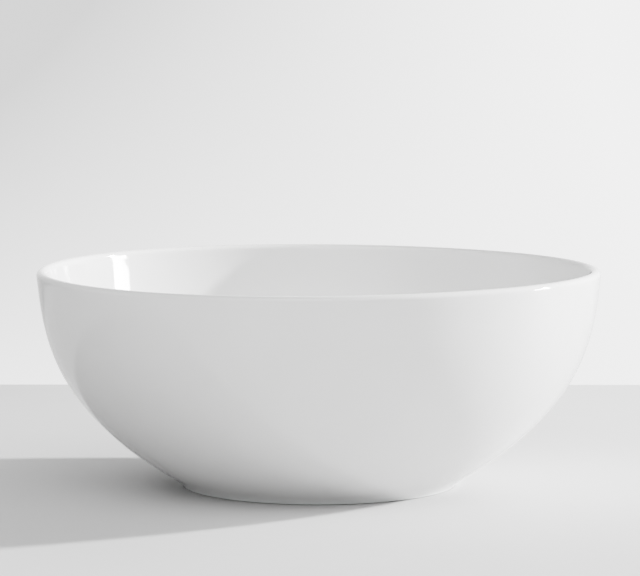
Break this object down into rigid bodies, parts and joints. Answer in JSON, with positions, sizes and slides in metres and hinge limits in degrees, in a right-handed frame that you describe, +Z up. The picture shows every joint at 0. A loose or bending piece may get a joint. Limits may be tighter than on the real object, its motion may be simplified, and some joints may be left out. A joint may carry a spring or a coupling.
{
  "type": "serving bowl",
  "caption": "Wide, deep, plain white glazed porcelain serving bowl with curved walls, a rounded lip and a short foot ring with a dry bearing edge.",
  "frame": {"origin": "centre of the foot ring's bearing face, on the surface that the bowl stands on", "axes": "+Z up along the axis that the bowl is turned about; X and Y are any two directions square to it"},
  "size_m": [0.267, 0.267, 0.1035],
  "materials": {
    "porcelain_body": "matt fired porcelain, hidden under the glaze",
    "porcelain_foot": "matt fired porcelain, bare and slightly ground on the bearing edge",
    "white_glaze": "high gloss white glaze",
    "base_glaze": "high gloss white glaze"
  },
  "bodies": {
    "root": {"bowl_body": "porcelain_body", "foot_ring": "porcelain_foot", "glaze_coat": "white_glaze", "base_glaze": "base_glaze"}
  },
  "joints": []
}
